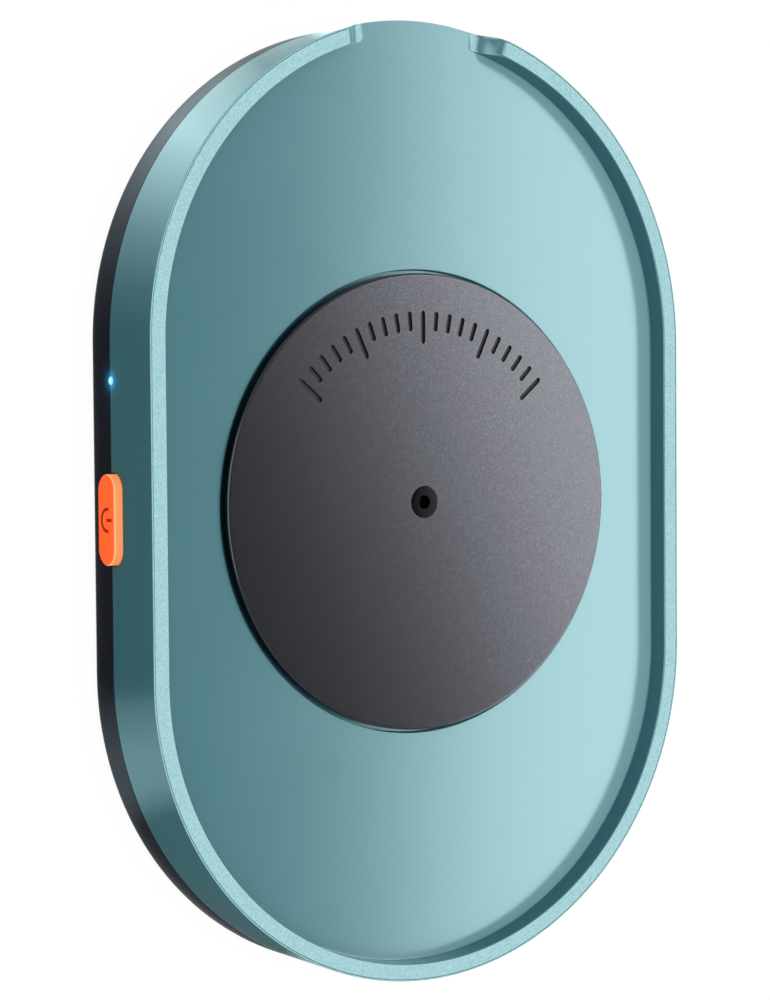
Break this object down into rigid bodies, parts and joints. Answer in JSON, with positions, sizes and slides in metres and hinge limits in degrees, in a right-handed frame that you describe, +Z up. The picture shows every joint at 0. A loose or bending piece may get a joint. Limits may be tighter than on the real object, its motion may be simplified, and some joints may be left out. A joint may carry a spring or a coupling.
{
  "type": "mouse jiggler",
  "caption": "Slim stadium-shaped mouse mover: geared motor turns a flush round disc in a rimmed tray, with side push button, light, USB-C socket and rubber feet.",
  "frame": {"origin": "centre of the underside, on the plane that the feet rest on and on the disc's axis", "axes": "+Z up along the disc's axis; +Y towards the cable gap in the rim; -X towards the button and the light"},
  "size_m": [0.0892, 0.132, 0.0171],
  "materials": {
    "teal_metal": "satin",
    "dark_shell": "satin",
    "disc_metal": "fine sparkle",
    "black_steel": "blackened",
    "steel": "turned",
    "brass": "turned",
    "white_plastic": "moulded",
    "magnet": "sintered",
    "copper_wire": "enamelled",
    "wire_cover": "smooth",
    "board_green": "solder mask",
    "black_plastic": "moulded",
    "part_brown": "moulded",
    "orange_plastic": "satin",
    "light_clear": "clear",
    "foot_rubber": "matte"
  },
  "bodies": {
    "case": {"tray": "teal_metal", "base_cover": "dark_shell", "spindle_bush": "brass", "thrust_washer": "white_plastic", "idler_pin": "steel", "motor_case": "steel", "motor_flange": "steel", "motor_coils": "copper_wire", "motor_screws": "steel", "motor_terminal": "white_plastic", "motor_lead": "wire_cover", "lead_plug": "white_plastic", "lead_socket": "white_plastic", "circuit_board": "board_green", "driver_chip": "black_plastic", "board_parts": "part_brown", "board_screws": "steel", "usb_shell": "steel", "usb_tongue": "black_plastic", "power_switch": "black_plastic", "indicator_led": "light_clear", "light_pipe": "light_clear", "case_screws": "black_steel", "rubber_feet": "foot_rubber"},
    "turntable": {"turntable_disc": "disc_metal", "disc_screw": "black_steel", "spindle": "steel", "drive_gear": "white_plastic", "retaining_clip": "black_steel"},
    "idler": {"idler_gear": "white_plastic"},
    "rotor": {"rotor_magnet": "magnet", "motor_shaft": "steel", "motor_pinion": "brass"},
    "button": {"power_button": "orange_plastic"},
    "plunger": {"switch_plunger": "white_plastic"}
  },
  "joints": [
    {"name": "turntable_spin", "type": "hinge", "parent": "case", "child": "turntable", "pos_m": [0, 0, 0.012], "axis": [0, 0, 1], "continuous": true},
    {"name": "idler_spin", "type": "hinge", "parent": "case", "child": "idler", "pos_m": [0, -0.0175, 0.008], "axis": [0, 0, 1], "continuous": true},
    {"name": "rotor_spin", "type": "hinge", "parent": "case", "child": "rotor", "pos_m": [0, -0.0295, 0.008], "axis": [0, 0, 1], "continuous": true},
    {"name": "button_press", "type": "slide", "parent": "case", "child": "button", "axis": [1, 0, 0], "range_m": [0, 0.0003], "stiffness_N_per_m": 400},
    {"name": "plunger_press", "type": "slide", "parent": "case", "child": "plunger", "axis": [1, 0, 0], "range_m": [0, 0.0003]}
  ],
  "couplings": [
    {"joint": "idler_spin", "follows": "turntable_spin", "ratio": -4},
    {"joint": "rotor_spin", "follows": "turntable_spin", "ratio": 16},
    {"joint": "plunger_press", "follows": "button_press", "ratio": 1}
  ]
}
